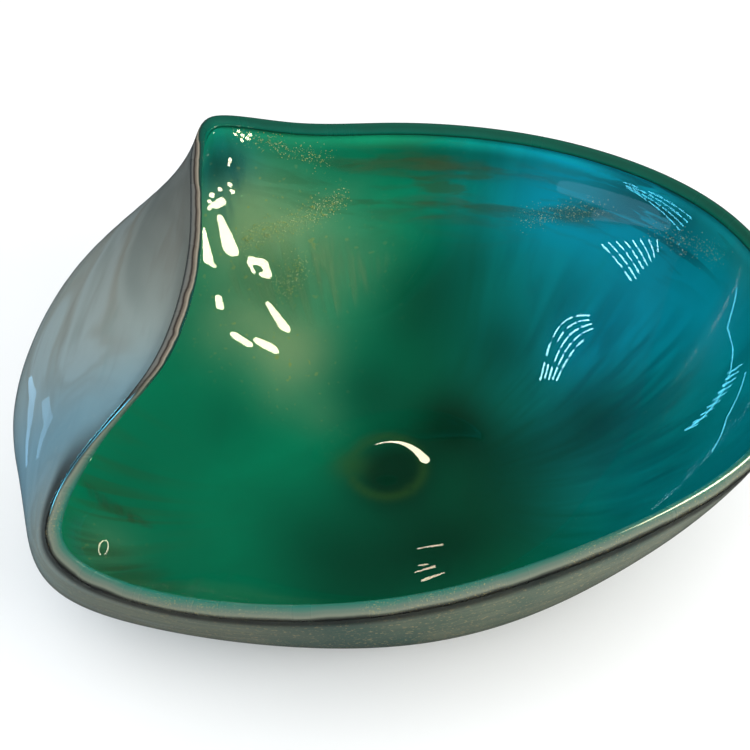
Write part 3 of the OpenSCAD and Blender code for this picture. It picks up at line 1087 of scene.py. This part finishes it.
def facing(points, place):
    """A shape's outline in the order that makes it face a place."""
    middle = points.mean(0)
    spokes = points - middle
    normal = np.cross(spokes, np.roll(spokes, -1, 0)).sum(0)
    return points if normal @ (place - middle) > 0 else points[::-1]


def glow(name, colour, radiance):
    """A glow on the front of a card and nothing on its back, which isn't sampled as a lamp."""
    material = bpy.data.materials.new(name)
    material.use_nodes = True
    tree = material.node_tree
    tree.nodes.clear()
    light = tree.nodes.new("ShaderNodeEmission")
    light.inputs["Color"].default_value = (*colour, 1)
    light.inputs["Strength"].default_value = radiance
    side_seen = tree.nodes.new("ShaderNodeNewGeometry")
    clear = tree.nodes.new("ShaderNodeBsdfTransparent")
    either = tree.nodes.new("ShaderNodeMixShader")
    output = tree.nodes.new("ShaderNodeOutputMaterial")
    tree.links.new(side_seen.outputs["Backfacing"], either.inputs[0])
    tree.links.new(light.outputs[0], either.inputs[1])
    tree.links.new(clear.outputs[0], either.inputs[2])
    tree.links.new(either.outputs[0], output.inputs[0])
    material.cycles.emission_sampling = "NONE"
    return material


def card(name, outlines, colour, radiance):
    """Bright shapes that only the gloss of the glass sees, such as bulbs and a window."""
    faces = []
    start = 0
    for outline in outlines:
        faces.append(tuple(range(start, start + len(outline))))
        start += len(outline)
    mesh = bpy.data.meshes.new(name)
    mesh.from_pydata((np.concatenate(outlines) * MM).tolist(), [], faces)
    mesh.materials.append(glow(name, colour, radiance))
    made = bpy.data.objects.new(name, mesh)
    bpy.context.scene.collection.objects.link(made)
    for ray in ("camera", "diffuse", "transmission", "volume_scatter", "shadow"):
        setattr(made, "visible_" + ray, False)


def stroke(start, end, radii):
    """The outline of a line with round ends, as thick at each end as its radius says."""
    start, end = np.array(start), np.array(end)
    along = unit(end - start + 1e-9)
    across = np.array([-along[1], along[0]])
    points = []
    for middle, radius, first in ((start, radii[0], 90), (end, radii[1], 270)):
        for a in np.radians(first + np.linspace(0, 180, 9)):
            points.append(middle + radius * (math.cos(a)*along + math.sin(a)*across))
    return np.array(points)


def wall_stroke(start, end, radii):
    """A stroke on the wall between two places (u, v), with its radii in millimetres."""
    u, v = (np.array(start) + end) / 2
    step = 0.01
    scale = np.array([
        np.linalg.norm(wall(u + step, v)[0] - wall(u - step, v)[0]) / (2*step),
        np.linalg.norm(wall(u, v)[0] - wall(u, v - step)[0]) / step,
    ])
    outline = stroke(np.array(start) * scale, np.array(end) * scale, radii) / scale
    points = on_wall(outline[:, 0], np.clip(outline[:, 1], 0, 1))
    return facing(points, in_wall(u, v, 1))


def outer_stroke(start, end, radii):
    """A stroke on the outside of the wall, with its radii in the wall's own u and v."""
    u, v = stroke(start, end, radii).T
    point, out, _, _ = wall(u, v)
    return facing(mirrored(point, out), point.mean(0))


def floor_stroke(start, end, radii):
    """A stroke on the floor, from and to an x and y from the middle of the foot."""
    outline = stroke(start, end, radii)
    return facing(on_floor(outline[:, 0], outline[:, 1]), FOOT_AT + [*start, FOOT_H])


def curve(ends, s):
    """Points on the arc from the first to the last of three places, bent towards the middle one."""
    a, b, c = (np.array(e, float) for e in ends)
    s = np.asarray(s)[..., None]
    return a*(1 - s)**2 + 2*b*s*(1 - s) + c*s**2


def slats(first, last, count, breaks, radius, seed):
    """A window seen through blinds: slats between two arcs, broken where the cords run."""
    rng = np.random.default_rng(seed)
    shapes = []
    for k in range(count):
        share = k / (count - 1)
        ends = (1 - share) * np.array(first) + share * np.array(last)
        for j in range(breaks):
            low = (j + rng.uniform(0.05, 0.16)) / breaks
            high = (j + rng.uniform(0.74, 0.86)) / breaks
            if rng.random() < SLAT_MISSING:
                continue
            half = (high - low) / 2
            for s in (low, low + half):
                shapes.append(wall_stroke(*curve(ends, [s, s + half]), (radius, radius)))
    return shapes


def path_strokes(places, radius):
    """Thin strokes from each place (u, v) on the wall to the next."""
    return [wall_stroke(a, b, (radius, radius)) for a, b in zip(places, places[1:])]


def reflect_bulbs():
    dots = [wall_stroke((u, v), (u + DOT_LENGTH, v), (r, r)) for u, v, r in DOTS]
    card("bulbs", dots + [wall_stroke(*facts) for facts in BULBS], WARM, radiance=30)
    card("round_bulb", [wall_stroke(*facts) for facts in ROUND_BULB], WARM, radiance=30)


def reflect_low():
    """Glints on the floor, the loop at the near left, and a lamp's rim in the pontil mark."""
    turn = np.linspace(0.4, 5.6, 10)
    spokes = np.stack([np.cos(turn), np.sin(turn + LOOP_SKEW)], 1)
    loop = np.array(LOOP_AT) + LOOP_HALF * spokes
    glints = [floor_stroke(*facts) for facts in FLOOR_GLINTS]
    card("near_glints", path_strokes(loop, LOOP_THICK) + glints, WARM, radiance=14)
    s = np.linspace(0, 1, CRESCENT_STEPS + 1)
    places = curve(CRESCENT, s)
    thick = 0.15 + 1.5 * s**1.5
    card("lamp_rim", [floor_stroke(places[k], places[k + 1], thick[k:k + 2])
                      for k in range(CRESCENT_STEPS)], WARM, radiance=26)


def reflect_windows():
    card("blinds_low", slats(*BLINDS_LOW), PALE_COOL, radiance=30)
    card("blinds_high", slats(*BLINDS_HIGH), PALE_COOL, radiance=30)
    card("blinds_rim", slats(*BLINDS_RIM), COOL, radiance=16)
    card("sky_pane", [wall_stroke(*facts) for facts in SKY_PANE], HAZE, radiance=1.6)
    side_panes = path_strokes(FRAME_LINE, 0.22) + path_strokes(SECOND_LINE, 0.15)
    for s in np.linspace(0.35, 1, 9):
        at = curve(RUNG_ARC, s)
        side_panes.append(wall_stroke(at, at + RUNG_SPAN, (0.3, 0.15)))
    card("side_panes", side_panes, COOL, radiance=20)


def gleam(name, stations, turn, reach, colour):
    """A long gleam along the lip, thin at both ends."""
    u = np.linspace(*stations, GLEAM_STEPS + 1)
    fade = np.sin(np.linspace(0, np.pi, GLEAM_STEPS + 1))[:, None]
    low, high = on_bead(u, turn - reach/2), on_bead(u, turn + reach/2)
    middle = (low + high) / 2
    low, high = middle + (low - middle)*fade, middle + (high - middle)*fade
    rim = wall(u, 1.0 + 0*u)[0]
    card(name, [facing(np.array([low[k], low[k + 1], high[k + 1], high[k]]), rim[k])
                for k in range(GLEAM_STEPS)], colour, radiance=22)


def reflections():
    """Bulbs, windows and gleams that the glass mirrors."""
    reflect_bulbs()
    reflect_low()
    reflect_windows()
    for facts in GLEAMS:
        gleam(*facts)
    card("left_pane", [outer_stroke(*facts) for facts in OUTER_HAZE], HAZE, radiance=3)


bpy.context.scene.view_settings.view_transform = "Standard"
build_bowl()
build_colours()
build_gold()
world()
floor()
lights()
reflections()
camera()
